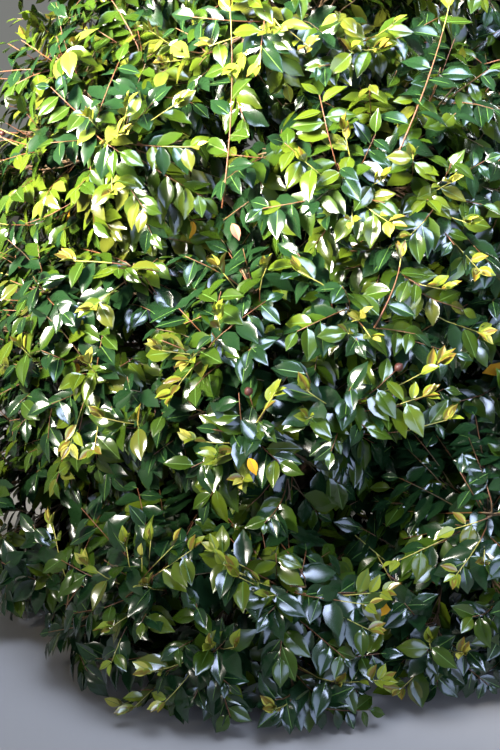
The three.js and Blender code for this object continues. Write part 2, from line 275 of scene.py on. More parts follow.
def waxy_leaf(name, code, roughness=0.6, coat=1.0):
    """The skin of a leaf: a plain deep colour under a thin coat of natural wax."""
    material, skin = new_material(name)
    skin.inputs["Base Color"].default_value = linear(code)
    skin.inputs["Roughness"].default_value = roughness
    skin.inputs["Coat Weight"].default_value = coat
    skin.inputs["Specular IOR Level"].default_value = 0.0
    skin.inputs["Coat Roughness"].default_value = WAX_ROUGHNESS
    skin.inputs["Coat IOR"].default_value = WAX_IOR
    return material


# Ages of leaf, from the oldest to the newest, which are also dealt out as painted shade and painted light. The
# midrib, the blush on new leaves and dying leaves follow.
LEAF_COLOURS = dict(
    deep="#172e16",
    mature="#2c400d",
    full="#415010",
    olive="#4b5018",
    light="#5a6624",
    young="#717b24",
    newest="#a29c44",
)
leaf_finish = {age: waxy_leaf(f"leaf_{age}", code) for age, code in LEAF_COLOURS.items()}
leaf_finish["midrib"] = waxy_leaf("leaf_midrib", "#4c6630", 0.5, 0.8)
leaf_finish["bronze"] = waxy_leaf("leaf_bronze_blush", "#6e5b24")
leaf_finish["yellowed"] = waxy_leaf("leaf_yellowed", "#d59a2a", 0.5, 0.2)
leaf_finish["withered"] = waxy_leaf("leaf_withered", "#a8735c", 0.7, 0)
print("leaf finishes:", list(leaf_finish))


# %% Bark and twigs
MOTTLE_TO_GRAIN, MOTTLE_EDGES = 8, (0.38, 0.66)


def bark(name, dark, pale, grain_mm, bump_mm):
    """Thin camellia bark: grey-brown, mottled with paler patches, and finely roughened."""
    material, skin = new_material(name)
    place = add_node(material, "ShaderNodeTexCoord").outputs["Object"]

    def noise_of(size_mm, detail):
        values = {"Scale": 1000 / size_mm, "Detail": detail}
        node = add_node(material, "ShaderNodeTexNoise", inputs=values, links={"Vector": place})
        return node.outputs["Fac"]

    mottle, grain = noise_of(grain_mm * MOTTLE_TO_GRAIN, 4), noise_of(grain_mm, 6)
    colour = add_node(material, "ShaderNodeValToRGB", links={"Fac": mottle})
    for end, position, code in zip(colour.color_ramp.elements, MOTTLE_EDGES, (dark, pale)):
        end.position, end.color = position, linear(code)
    height = {"Strength": 0.7, "Distance": bump_mm / 1000}
    relief = add_node(material, "ShaderNodeBump", inputs=height, links={"Height": grain})
    material.node_tree.links.new(colour.outputs["Color"], skin.inputs["Base Color"])
    material.node_tree.links.new(relief.outputs["Normal"], skin.inputs["Normal"])
    skin.inputs["Roughness"].default_value = 0.85
    return material


def plain_stem(name, code, roughness):
    """A young stem, smooth and slim: its colour is what shows."""
    material, skin = new_material(name)
    skin.inputs["Base Color"].default_value = linear(code)
    skin.inputs["Roughness"].default_value = roughness
    return material


trunk_bark = bark("bark_of_trunk", "#50432f", "#958363", 5, 1.2)
bough_bark = bark("bark_of_boughs", "#564631", "#9f8a6c", 3, 0.6)
stem_finish = dict(
    woody=plain_stem("twig_woody", "#5a462e", 0.75),
    red=plain_stem("twig_red_brown", "#684026", 0.5),
    green=plain_stem("twig_green", "#a89e4c", 0.45),
)
print("bark and stems:", trunk_bark.name, bough_bark.name, list(stem_finish))

# %% [markdown]
# ## Trunk and boughs
#
# The trunk flares at the roots and runs up through the crown. A limb could be a curve with a bevel, but then
# its bark would be smooth. So each limb starts as a cylinder, is cut into rings in edit mode, and the rings
# are laid on the limb's curve. Noise that is stretched along the limb gives the low ridges of real bark.


# %% One limb
RIDGES_ROUND, RIDGES_ALONG, RIDGE_MIDDLE = 2.2, 14, 1.2
RIDGE_NOISE = (1.0, 2.1, 4, 0.9, 2.0)  # smoothness, step between sizes, how many sizes, offset and gain


def apart():
    """Nothing is selected, and Blender is in object mode."""
    if bpy.context.object and bpy.context.object.mode != "OBJECT":
        bpy.ops.object.mode_set(mode="OBJECT")
    bpy.ops.object.select_all(action="DESELECT")


def select_where(piece, chosen):
    """In edit mode, selects the corners whose place passes a test."""
    bpy.ops.mesh.select_all(action="DESELECT")
    shape = bmesh.from_edit_mesh(piece.data)
    for corner in shape.verts:
        corner.select = bool(chosen(corner.co))
    shape.select_flush_mode()
    bmesh.update_edit_mesh(piece.data)


def cut_cylinder(name, sides, rings):
    """A cylinder from 0 to 1 with its side cut into rings."""
    apart()
    bpy.ops.mesh.primitive_cylinder_add(vertices=sides, radius=1, depth=1, location=(0, 0, 0.5))
    limb = bpy.context.object
    bpy.ops.object.transform_apply(location=True, rotation=False, scale=False)
    limb.name = limb.data.name = name
    bpy.ops.object.mode_set(mode="EDIT")
    bpy.ops.mesh.select_all(action="DESELECT")
    shape = bmesh.from_edit_mesh(limb.data)
    for edge in shape.edges:
        edge.select = abs(edge.verts[0].co.z - edge.verts[1].co.z) > 0.5
    bmesh.update_edit_mesh(limb.data)
    bpy.ops.mesh.subdivide(number_cuts=rings - 1)
    bpy.ops.object.mode_set(mode="OBJECT")
    return limb


def lay_on_curve(limb, handles, radius_at, crowding, ridge_mm, seed):
    """Lays the rings on the curve, each as thick as the limb is there, and raises the bark.

    A crowding above 1 sets the rings closer together at the foot."""
    corners = np.array([v.co for v in limb.data.vertices])
    shares = np.clip(corners[:, 2], 0, 1) ** crowding
    centres = bezier(handles, shares)
    ways = unit(bezier(handles, np.clip(shares + 1e-3, 0, 1)) - bezier(handles, np.clip(shares - 1e-3, 0, 1)))
    span = np.array(handles[-1]) - np.array(handles[0])
    steep = abs(span[2]) > math.hypot(span[0], span[1])
    across = np.array((1.0, 0, 0) if steep else (0, 0, 1.0))
    side = unit(across - ways * (ways @ across)[:, None])
    front = np.cross(side, ways)
    angle = np.arctan2(-corners[:, 1], corners[:, 0])
    length = np.linalg.norm(span)
    radius = radius_at(shares, centres, angle, length)
    for i, (turn, share) in enumerate(zip(angle, shares)):
        x, y = RIDGES_ROUND * math.cos(turn), RIDGES_ROUND * math.sin(turn)
        spot = Vector((x, y, seed + share * length * RIDGES_ALONG))
        radius[i] += ridge_mm / 1000 * (noise.ridged_multi_fractal(spot, *RIDGE_NOISE) - RIDGE_MIDDLE)
    placed = centres + (side * np.cos(angle)[:, None] + front * np.sin(angle)[:, None]) * radius[:, None]
    limb.data.vertices.foreach_set("co", placed.ravel())
    limb.data.update()
    bpy.ops.object.shade_smooth()


def finish_piece(piece, slot, nodes, *finishes):
    """Gives a finished piece its materials and its body, and hides the nodes that it stands for. The slot is
    not used.
    """
    for finish in finishes:
        piece.data.materials.append(finish)
    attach(piece, "root")
    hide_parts(*nodes)
    print(f"{piece.name}: {len(piece.data.vertices)} points, {len(piece.data.polygons)} faces")


def join(pieces, name):
    """Joins pieces into the first of them."""
    apart()
    for piece in pieces:
        piece.select_set(True)
    bpy.context.view_layer.objects.active = pieces[0]
    bpy.ops.object.join()
    pieces[0].name = pieces[0].data.name = name
    return pieces[0]


# %% The trunk, with its foot cut level
def trunk_radius_at(_shares, centres, turn, _length):
    return trunk_radius(centres[:, 2], turn)


trunk = cut_cylinder("trunk_with_bark", sides=56, rings=260)
lay_on_curve(trunk, TRUNK_HANDLES, trunk_radius_at, crowding=1.25, ridge_mm=1.1, seed=3.0)
for corner in trunk.data.vertices:
    if corner.co.z < 0.001:
        corner.co.z = 0
finish_piece(trunk, "bark", ["trunk"], trunk_bark)


# %% The boughs, joined into one piece
def bough_radius(shares, _centres, _turn, length):
    even = BOUGH_TIP_RADIUS + BOUGH_TAPER * length * (1 - shares)
    return even * (1 + BOUGH_COLLAR * np.exp(-shares * length / COLLAR_LENGTH))


boughs = []
for mass in masses:
    if mass.in_ring:
        bough = cut_cylinder(f"bough_{mass.name}", sides=14, rings=44)
        lay_on_curve(bough, mass.limb, bough_radius, crowding=1.0, ridge_mm=0.5, seed=10.0 + mass.key)
        boughs.append(bough)
bough_nodes = [f"bough_{mass.name}" for mass in masses if mass.in_ring]
finish_piece(join(boughs, "boughs_with_bark"), "bough_bark", bough_nodes, bough_bark)

# %% [markdown]
# ## One leaf
#
# A mature leaf is about 8 cm long: broadest below its middle, drawn out to a point, folded a little along the
# midrib, with the halves arching and the tip turned down. There will be thousands, so one leaf has few faces:
# a grid is added, each corner is moved to the outline and the arch, and the ends are merged to points. The
# two middle columns stay close together, and make a slim strip for the pale midrib.

# %% Model a leaf
LEAF_OUTLINE = [
    (0, 0.011), (0.075, 0.018), (0.16, 0.135), (0.31, 0.238),
    (0.50, 0.266), (0.69, 0.214), (0.86, 0.094), (1, 0.002),
]
SHADED_OUTLINE = [(0, 0.008), (0.14, 0.13), (0.36, 0.25), (0.62, 0.24), (0.85, 0.10), (1, 0.002)]
INNER_OUTLINE = [(0, 0.008), (0.26, 0.23), (0.68, 0.22), (1, 0.002)]
STALK, MIDRIB, MIDRIB_REACH, BLUSH_REACH = 0.1, 0.013, 1.6, 2.5
PARKED = 10  # rows already laid are moved this far along, so that no later row selects them


def model_leaf(name, fold, arch, cup, twist, slim=1.0, inner=0.56, outline=LEAF_OUTLINE):
    """One leaf along +Y with its root at the origin and its upper face up, as triangles."""
    apart()
    columns = 6 if outline is LEAF_OUTLINE else 3
    bpy.ops.mesh.primitive_grid_add(
        x_subdivisions=columns - 1, y_subdivisions=len(outline) - 1, size=1, location=(0, 0, 0)
    )
    leaf = bpy.context.object
    leaf.name = leaf.data.name = name
    column_places = sorted({round(v.co.x, 4) for v in leaf.data.vertices})
    row_places = sorted({round(v.co.y, 4) for v in leaf.data.vertices})
    spreads = [-1, -inner, 0, 0, inner, 1] if columns == 6 else [-1, 0, 1]
    strip = [0, 0, -MIDRIB, MIDRIB, 0, 0] if columns == 6 else [0, 0, 0]
    bpy.ops.object.mode_set(mode="EDIT")
    for old, (along, half) in zip(row_places, outline):
        half = half * slim if along > STALK else half
        for x, spread, rib in zip(column_places, spreads, strip):
            select_where(leaf, lambda at: round(at.x, 4) == x and round(at.y, 4) == old)
            across = spread * half + rib * min(1, half / (2 * MIDRIB))
            rise = fold * abs(across) - arch * along * along
            rise += cup * half if 0 < abs(spread) < 1 else 0
            bpy.ops.transform.translate(value=(across - x, along + PARKED - old, rise))
    bpy.ops.mesh.select_all(action="SELECT")
    bpy.ops.transform.translate(value=(0, -PARKED, 0))
    bpy.ops.mesh.remove_doubles(threshold=MIDRIB * 0.95)
    bpy.ops.mesh.quads_convert_to_tris()
    bpy.ops.mesh.normals_make_consistent(inside=False)
    bpy.ops.object.mode_set(mode="OBJECT")
    turn = leaf.modifiers.new("twist", "SIMPLE_DEFORM")
    turn.deform_method, turn.deform_axis, turn.angle = "TWIST", "Y", math.radians(twist)
    bpy.ops.object.modifier_apply(modifier=turn.name)
    return leaf


# Each leaf's numbers: fold, arch, cup and twist in degrees, and for some how slim it is and where it creases.
leaf_models = [
    model_leaf("leaf_flat", 0.16, 0.10, 0.12, 6),
    model_leaf("leaf_folded", 0.40, 0.16, 0.10, -9, 0.94),
    model_leaf("leaf_recurved", 0.20, 0.27, 0.15, 14),
    model_leaf("leaf_broad", 0.08, 0.18, 0.16, -14, 1.08),
    model_leaf("leaf_new", 0.55, 0.05, 0.05, 5, 0.92, 0.76),
    model_leaf("leaf_new_curled", 0.70, -0.14, 0.05, -12, 0.86, 0.58),
    model_leaf("leaf_shaded", 0.22, 0.16, 0, 8, outline=SHADED_OUTLINE),
    model_leaf("leaf_shaded_folded", 0.40, 0.10, 0, -10, outline=SHADED_OUTLINE),
    model_leaf("leaf_inner", 0.22, 0.14, 0, 6, outline=INNER_OUTLINE),
    model_leaf("leaf_inner_folded", 0.38, 0.10, 0, -8, outline=INNER_OUTLINE),
]
for leaf in leaf_models:
    print(leaf.name, len(leaf.data.polygons), "faces")


# %% Keep each leaf as arrays
class LeafShape:
    """A leaf's corners, its triangles, and which of them are the midrib and the part beside it."""

    def __init__(self, leaf):
        self.corners = np.array([v.co for v in leaf.data.vertices])
        self.faces = np.array([p.vertices for p in leaf.data.polygons])
        normals = np.array([p.normal for p in leaf.data.polygons])
        if normals[:, 2].mean() < 0:
            self.faces = self.faces[:, ::-1]
        across = np.abs(self.corners[self.faces][:, :, 0])
        self.is_midrib = across.max(axis=1) < MIDRIB * MIDRIB_REACH
        self.is_blush = ~self.is_midrib & (across.min(axis=1) < MIDRIB * BLUSH_REACH)


leaf_shapes = [LeafShape(leaf) for leaf in leaf_models]
MATURE_SHAPES, NEW_SHAPES, SHADED_SHAPES, INNER_SHAPES = (0, 1, 2, 3), (4, 5), (6, 7), (8, 9)
BLUSHING_SHAPE = 5
for leaf in leaf_models:
    bpy.data.objects.remove(leaf)
print("midrib faces:", [int(s.is_midrib.sum()) for s in leaf_shapes])

# %% Model a seed capsule
CAPSULE_RADIUS, CAPSULE_SUNK = 0.0125, 0.85
CAPSULE_SIDES, CAPSULE_RINGS, FURROWS, CALYX_BELOW = 12, 8, 3, -0.6
FURROW_EDGE, FURROW_DEPTH, TIP_RISE = -0.9, 0.86, 0.22


def model_capsule():
    """A ripe capsule of radius one: a ball with three furrows, a small tip, and the dry calyx under it."""
    apart()
    bpy.ops.mesh.primitive_uv_sphere_add(
        segments=CAPSULE_SIDES, ring_count=CAPSULE_RINGS, radius=1, location=(0, 0, 0)
    )
    capsule = bpy.context.object
    bpy.ops.object.mode_set(mode="EDIT")

    def in_furrow(at):
        return abs(at.z) < 0.99 and math.cos(FURROWS * math.atan2(at.y, at.x)) < FURROW_EDGE

    select_where(capsule, in_furrow)
    bpy.ops.transform.resize(value=(FURROW_DEPTH, FURROW_DEPTH, 1), center_override=(0, 0, 0))
    select_where(capsule, lambda at: at.z > 0.99)
    bpy.ops.transform.translate(value=(0, 0, TIP_RISE))
    bpy.ops.object.mode_set(mode="OBJECT")
    for face in capsule.data.polygons:
        face.material_index = int(face.center.z < CALYX_BELOW)
    bpy.ops.object.shade_smooth()
    return capsule


capsule_model = model_capsule()
capsule_skin = plain_stem("capsule_skin", "#432018", 0.5)
capsule_calyx = plain_stem("capsule_calyx", "#6f5a3a", 0.8)
print("capsule:", len(capsule_model.data.polygons), "faces")

# %% [markdown]
# ## The camera, and where the new growth shows
#
# The camera comes before the twigs, because the bright sprays of new growth are placed where the photograph
# shows them. Each is found by following the camera's ray to the face of the crown, and it grows on its mass's
# own twigs, so it holds from every side.

# %% Camera
IMAGE_WIDTH, IMAGE_HEIGHT, FOCAL_PIXELS = 500, 750, 1120
CAMERA_PLACE = np.array((-0.20, -4.20, 1.60))
CAMERA_DIP = math.radians(10.4)
SENSOR_MM = 36
CROWN_BETWEEN = (2.6, 5.2)

lens = bpy.data.cameras.new("camera")
lens.sensor_width = SENSOR_MM
lens.lens = SENSOR_MM * FOCAL_PIXELS / IMAGE_HEIGHT
camera = bpy.data.objects.new("camera", lens)
camera.location = CAMERA_PLACE
camera.rotation_euler = (math.pi / 2 - CAMERA_DIP, 0, 0)
bpy.context.scene.collection.objects.link(camera)
bpy.context.scene.camera = camera


def ray_through(x, y):
    """The camera's ray through a place in the picture, in pixels from its top left."""
    ahead = np.array((0, math.cos(CAMERA_DIP), -math.sin(CAMERA_DIP)))
    up = np.array((0, math.sin(CAMERA_DIP), math.cos(CAMERA_DIP)))
    aside = np.array((1, 0, 0)) * (x - IMAGE_WIDTH / 2) / FOCAL_PIXELS
    below = up * (y - IMAGE_HEIGHT / 2) / FOCAL_PIXELS
    return unit(ahead + aside - below)


def on_crown(x, y, deeper=0.02):
    """The mass that the camera sees at a place in the picture, and a point just inside its edge."""
    steps = np.arange(*CROWN_BETWEEN, 0.01)
    points = CAMERA_PLACE + steps[:, None] * ray_through(x, y)
    first, found = len(steps), None
    for mass in masses:
        inside = np.nonzero(mass.holds(points))[0]
        if len(inside) and inside[0] < first:
            first, found = inside[0], mass
    if found is None:
        return None, None
    return found, CAMERA_PLACE + (steps[first] + deeper) * ray_through(x, y)


print("camera lens:", round(lens.lens, 1), "mm")

# %% New growth, long shoots and fruit on the side seen first
FRESH_SPRAYS = [
    (209, 46), (236, 70), (128, 104), (179, 102), (89, 118), (124, 134), (102, 147), (112, 191),
    (164, 62), (282, 29), (260, 65), (311, 48), (350, 51), (381, 49), (344, 128), (303, 160),
    (382, 180), (451, 182), (352, 223), (390, 223), (410, 235), (468, 223), (218, 266), (217, 312),
    (91, 309), (21, 347), (89, 363), (159, 350), (188, 363), (171, 397), (100, 417), (137, 419),
    (70, 446), (94, 451), (191, 440), (215, 459), (267, 266), (298, 271), (360, 319), (371, 338),
    (349, 334), (275, 392), (306, 390), (427, 395), (441, 363), (481, 333), (480, 271), (446, 290),
    (126, 543), (151, 540), (174, 545), (193, 549), (142, 557), (215, 551), (223, 564), (86, 564),
    (239, 577), (147, 586), (212, 645), (234, 647), (110, 628), (148, 672), (132, 709), (163, 704),
    (118, 726), (260, 583), (268, 596), (362, 511), (355, 535), (371, 543), (395, 562), (443, 532),
    (484, 564), (386, 592), (368, 605), (371, 631), (429, 640), (464, 653), (338, 683), (274, 709),
    (382, 680), (400, 690),
]
LONG_SHOOTS = [((396, 158), (449, 6)), ((222, 208), (230, 8)), ((374, 328), (401, 256))]
CAPSULES_SEEN, FRUITING_TIERS = [(396, 370), (249, 393)], ("waist", "shoulder")
TRUNK_SEEN = [(305, 462), (305, 474), (305, 486)]
ODD_LEAVES_SEEN = [(253, 467, "yellowed"), (236, 232, "withered")]
print("fresh sprays on the front:", len(FRESH_SPRAYS))

# %% [markdown]
# ## Twigs that carry on from the boughs
#
# Out of a bough's tip comes the stem of its mass, and out of that come the leads, as in the solids. Shoots
# follow the same turning rule as the leads, a golden angle apart, and there are about fifteen to a lead.
# Each leaves the nearest lead, bends towards the edge of the space, and carries leaves on both sides. Short
# leafy twigs on the boughs and leads shade the inside of the crown, and more of them line the back of the
# open place at the front.


# %% Paths
def fan_ways(mass, count, fan):
    """Directions that fan out evenly round the mass's outward one, each a golden angle on."""
    index = np.arange(count)
    outwards = 1 - (index + 0.5) / count * (1 - math.cos(math.radians(fan)))
    turn = index * GOLDEN_ANGLE + 2 * math.pi * chance(mass.key, 7)
    spread = np.sqrt(1 - outwards**2)
    sideways, outward, upward = mass.axes
    return (
        outwards[:, None] * outward
        + (spread * np.cos(turn))[:, None] * sideways
        + (spread * np.sin(turn))[:, None] * upward
    )


def at_share(path, share):
    """The point, or the points, that lie a share of the way along a path of evenly spaced points."""
    steps = np.arange(len(path))
    return np.stack([np.interp(share * (len(path) - 1), steps, path[:, i]) for i in range(3)], axis=-1)


def bowed(start, tip, bow, points):
    """A path from start to tip whose middle handle is moved aside by the bow."""
    bend = lerp(start, tip, 0.5) + bow
    return bezier([start, bend, tip], np.linspace(0, 1, points))


print("the first lead of the first mass points", fan_ways(masses[0], LEADS, LEAD_FAN)[0].round(3))

# %% What a twig is
LEAF_GAP, FINE_LEAVES = 0.019, 5
WOODY = ((1.0, "woody"),)
SEEDS = dict(spray=200, fruit=300, long=400, stem=500, lead=600, inner=700, hollow=900)


class Twig:
    """A twig: its path, its radius at both ends, the finishes along it, and how many leaves it has.

    One that stands free may cross into other masses' spaces, and the leaves that hide it are cleared away.
    One inside the crown keeps to no space at all."""

    def __init__(
        self, mass, path, radii, finishes, seed, leaf_count=0, new_leaves=0, fine_leaves=FINE_LEAVES
    ):
        self.mass, self.path, self.radii, self.finishes = mass, path, radii, finishes
        self.seed, self.leaf_count, self.new_leaves = seed, leaf_count, new_leaves
        self.fine_leaves, self.leaf_gap = fine_leaves, LEAF_GAP
        self.stands_free = self.inside = self.has_capsule = False


print("where each kind of twig starts to count its seeds:", SEEDS)

# %% The stem of each mass, and its leads
STEM_STEPS, STEM_TIP_RADIUS, LIMB_OVERLAP = 5, 0.0055, 0.010
LEAD_STEPS, LEAD_RADII, LEAD_BOW = 8, (0.0052, 0.0028), 0.03


def stem_and_leads(mass):
    """The stem out of the limb's tip and the leads out of the stem."""
    limb = np.array(mass.limb, float)
    foot = limb[-1] - unit(limb[-1] - limb[-2]) * LIMB_OVERLAP
    ways = fan_ways(mass, LEADS, LEAD_FAN)
    reaches = mass.reach_along(ways)
    lengths = np.maximum(reaches - LEAD_SHORT, CORE_LEAST * reaches)
    tips = mass.heart + ways * lengths[:, None]
    stem_radii = (BOUGH_TIP_RADIUS if mass.in_ring else TRUNK_TIP_RADIUS, STEM_TIP_RADIUS)
    stem_path = bezier([foot, mass.heart], np.linspace(0, 1, STEM_STEPS))
    leads = []
    for i, tip in enumerate(tips):
        start = lerp(foot, mass.heart, lerp(*LEAD_STARTS, i / (LEADS - 1)))
        bow = LEAD_BOW * np.array((stray(mass.key, i, 11), stray(mass.key, i, 12), 1))
        leads.append(Twig(mass, bowed(start, tip, bow, LEAD_STEPS), LEAD_RADII, WOODY, SEEDS["lead"] + i))
    return Twig(mass, stem_path, stem_radii, WOODY, SEEDS["stem"]), leads


for mass in masses:
    mass.stem, mass.leads = stem_and_leads(mass)
print("leads:", sum(len(mass.leads) for mass in masses))

# %% One shoot
SHOOT_STEPS, SHOOT_RADII, LEAVES_MOST = 6, (0.0029, 0.0014), 11
SHOOT_STARTS, SHOOT_ONWARD, SHOOT_SAG, SHOOT_STRAY = (0.30, 0.92), 0.42, 0.10, 0.05


def shoot_to(mass, target, seed, new_leaves, leaf_count=LEAVES_MOST, fine_leaves=FINE_LEAVES):
    """A shoot from the lead nearest in direction to a target near the edge of the space."""
    way = unit(target - mass.heart)
    nearness = [float(unit(lead.path[-1] - mass.heart) @ way) for lead in mass.leads]
    lead = mass.leads[int(np.argmax(nearness))]
    start = at_share(lead.path, lerp(*SHOOT_STARTS, chance(mass.key, seed, 21)))
    onward = unit(lead.path[-1] - lead.path[0])
    span = np.linalg.norm(target - start)
    bend = start + onward * span * SHOOT_ONWARD + np.array((0, 0, -SHOOT_SAG * span))
    bend += SHOOT_STRAY * span * np.array([stray(mass.key, seed, k) for k in (22, 23, 24)])
    path = bezier([start, bend, target], np.linspace(0, 1, SHOOT_STEPS))
    green_from = 0.55 if new_leaves > 3 else 0.8 if new_leaves else 1.0
    finishes = ((0.4, "woody"), (green_from, "red"), (1.0, "green"))
    return Twig(mass, path, SHOOT_RADII, finishes, seed, leaf_count, new_leaves, fine_leaves)


print("a shoot has at most", LEAVES_MOST, "leaves")

# %% Shoots on every side of a mass
SHOOTS, SHOOT_FAN, SHOOT_TIP_SHARES = 124, 148, (0.76, 0.965)
WALLED_BELOW, WALLED_FINE_LEAVES, INWARD = 0.93, 2, -0.3
SEEN_FIRST, NEW_SHARE_SEEN, NEW_SHARE_ELSEWHERE = -0.2, 0.14, 0.26
YOUNG_PROUD = 0.030


def shoots_of(mass):
    """Shoots towards the whole edge of the space, with new growth at the tips of some."""
    ways = fan_ways(mass, SHOOTS, SHOOT_FAN)
    reaches = mass.reach_along(ways)
    bulge = ways @ mass.axes.T / mass.spread
    walled = reaches < WALLED_BELOW / np.linalg.norm(bulge, axis=1)
    shoots = []
    for i, (way, reach) in enumerate(zip(ways, reaches)):
        share = lerp(*SHOOT_TIP_SHARES, chance(mass.key, i, 32) ** 0.5)
        new_share = NEW_SHARE_SEEN if way[1] < SEEN_FIRST else NEW_SHARE_ELSEWHERE
        new = 0
        if not walled[i] and chance(mass.key, i, 33) < new_share:
            new = 2 + int(4 * chance(mass.key, i, 34))
            share += 0.9 * YOUNG_PROUD * chance(mass.key, i, 35) / reach
        fine = 0 if way @ mass.axes[1] < INWARD else WALLED_FINE_LEAVES if walled[i] else FINE_LEAVES
        shoots.append(shoot_to(mass, mass.heart + way * reach * share, i, new, fine_leaves=fine))
    return shoots


fresh = [shoot.new_leaves > 0 for shoot in shoots_of(masses[0])]
print("shoots of the first mass:", len(fresh), "of which fresh:", sum(fresh))

# %% Leafy twigs inside the crown
BOUGH_TWIGS, LEAD_TWIGS, INNER_LEAVES, INNER_STEPS = 20, 4, 10, 4
INNER_STARTS, INNER_LENGTHS, INNER_RADII = (0.28, 0.98), (0.16, 0.30), (0.0022, 0.0012)
INNER_SPRAWL, INNER_BOW, INNER_LOWEST = 1.5, 0.15, 0.08
HOLLOW_BACK, HOLLOW_OPEN = (-0.90, -0.64), 0.9


def in_hollow(place):
    """Whether a place lies in the open part at the front."""
    off_centre = np.linalg.norm((place - HOLLOW_CENTRE) / HOLLOW_REACH)
    return off_centre < HOLLOW_OPEN and place[1] < HOLLOW_BACK[0]


def inner_twigs_of(mass):
    """Short leafy twigs on a bough and on its leads, which shade the inside of the crown."""
    starts, inner = [], []
    for i in range(BOUGH_TWIGS if mass.in_ring else 0):
        share = lerp(*INNER_STARTS, (i + chance(mass.key, i, 71)) / BOUGH_TWIGS)
        starts.append((bezier(mass.limb, share)[0], bezier(mass.limb, share + 0.02)[0]))
    on_bough = len(starts)
    for k, lead in enumerate(mass.leads):
        for i in range(LEAD_TWIGS):
            share = 0.85 * (i + chance(mass.key, k, i, 76)) / LEAD_TWIGS
            starts.append((at_share(lead.path, share), at_share(lead.path, share + 0.08)))
    for i, (start, onward) in enumerate(starts):
        sprawl = unit(np.array([stray(mass.key, i, k) for k in (72, 73, 74)]))
        way = unit(unit(onward - start) + INNER_SPRAWL * sprawl)
        length = lerp(*INNER_LENGTHS, chance(mass.key, i, 75))
        tip = start + way * length
        outside = i >= on_bough and not mass.holds(tip[None])[0]
        if outside or tip[2] < INNER_LOWEST or in_hollow(tip):
            continue
        path = bowed(start, tip, np.array((0, 0, INNER_BOW * length)), INNER_STEPS)
        twig = Twig(mass, path, INNER_RADII, WOODY, SEEDS["inner"] + i, INNER_LEAVES, 0, 0)
        twig.inside = True
        inner.append(twig)
    return inner


print("inner twigs of the first mass:", len(inner_twigs_of(masses[0])))

# %% Leafy twigs behind the open place at the front
HOLLOW_TWIGS, HOLLOW_LEAVES, HOLLOW_FINE_LEAVES = 80, 9, 4
HOLLOW_BOW, HOLLOW_RADII = 0.02, (0.0024, 0.0012)


def hollow_twigs():
    """Leafy twigs out of the nearest limbs, which line the back of the open part."""
    starts = [(mass, point) for mass in masses for point in bezier(mass.limb, np.linspace(0.3, 1, 12))]
    starts += [(mass, point) for mass in masses for lead in mass.leads for point in lead.path]
    points = np.array([point for _, point in starts])
    lining = []
    for i in range(HOLLOW_TWIGS):
        out = math.sqrt((i + 0.5) / HOLLOW_TWIGS)
        x = HOLLOW_CENTRE[0] + HOLLOW_REACH[0] * out * math.cos(i * GOLDEN_ANGLE)
        z = HOLLOW_CENTRE[2] + HOLLOW_REACH[2] * out * math.sin(i * GOLDEN_ANGLE)
        tip = np.array((x, lerp(*HOLLOW_BACK, chance(i, 81)), z))
        mass, start = starts[int(np.argmin(np.linalg.norm(points - tip, axis=1)))]
        path = bowed(start, tip, HOLLOW_BOW * np.array((stray(i, 82), stray(i, 83), 1)), SHOOT_STEPS)
        finishes, seed = ((0.7, "woody"), (1.0, "red")), SEEDS["hollow"] + i
        twig = Twig(mass, path, HOLLOW_RADII, finishes, seed, HOLLOW_LEAVES, 0, HOLLOW_FINE_LEAVES)
        twig.inside = True
        lining.append(twig)
    return lining


lining = hollow_twigs()
print("twigs behind the open place:", len(lining))

# %% Twigs that stand free: sprays of new growth, stalks with a capsule, and long shoots
SPRAY_LEAVES, CROWDED_PIXELS = 8, 27
FRUIT_WAY, FRUIT_SHARE, FRUITING_FROM = 7, 0.93, -0.4
LONG_STEPS, LONG_BOW, LONG_RADII = 12, (0.03, -0.01, 0.02), (0.0030, 0.0013)
LONG_LEAVES, LONG_NEW_LEAVES, LONG_GAP = 12, 3, 0.045


def fresh_sprays():
    """Where two sprays stand close together, the later one has fewer new leaves."""
    sprays = []
    for number, (x, y) in enumerate(FRESH_SPRAYS):
        mass, target = on_crown(x, y)
        if mass is not None:
            crowded = any(math.dist((x, y), other) < CROWDED_PIXELS for other in FRESH_SPRAYS[:number])
            new = 2 + number % 2 if crowded else 4 + number % 3
            sprays.append(shoot_to(mass, target, SEEDS["spray"] + number, new, SPRAY_LEAVES))
    return sprays


def fruiting_stalks():
    """Stalks of the capsules that are seen, and of a few on the other sides."""
    places = [on_crown(x, y) for x, y in CAPSULES_SEEN]
    for mass in masses:
        if mass.tier in FRUITING_TIERS and mass.key % 2 and mass.heart[1] > FRUITING_FROM:
            way = fan_ways(mass, SHOOTS, SHOOT_FAN)[FRUIT_WAY]
            places.append((mass, mass.heart + way * mass.reach_along(way)[0] * FRUIT_SHARE))
    stalks = []
    for number, (mass, target) in enumerate(places):
        stalks.append(shoot_to(mass, target, SEEDS["fruit"] + number, 0, SPRAY_LEAVES))
        stalks[-1].has_capsule = True
    return stalks


def long_shoots():
    """Shoots of this year that are longer than the rest, with their leaves further apart."""
    shoots = []
    for number, (low, high) in enumerate(LONG_SHOOTS):
        mass, start = on_crown(*low, 0.05)
        _, tip = on_crown(*high, 0.03)
        path = bowed(start, tip, np.array(LONG_BOW), LONG_STEPS)
        finishes, seed = ((0.85, "red"), (1.0, "green")), SEEDS["long"] + number
        shoot = Twig(mass, path, LONG_RADII, finishes, seed, LONG_LEAVES, LONG_NEW_LEAVES, LONG_LEAVES)
        shoot.leaf_gap = LONG_GAP
        shoots.append(shoot)
    return shoots


free_twigs = [*fresh_sprays(), *fruiting_stalks(), *long_shoots()]
for twig in free_twigs:
    twig.stands_free = True
print("twigs that stand free:", len(free_twigs))

# %% Grow the twigs
twigs = []
for mass in masses:
    twigs += [mass.stem, *mass.leads, *shoots_of(mass), *inner_twigs_of(mass)]
twigs += [*lining, *free_twigs]
print("twigs:", len(twigs))
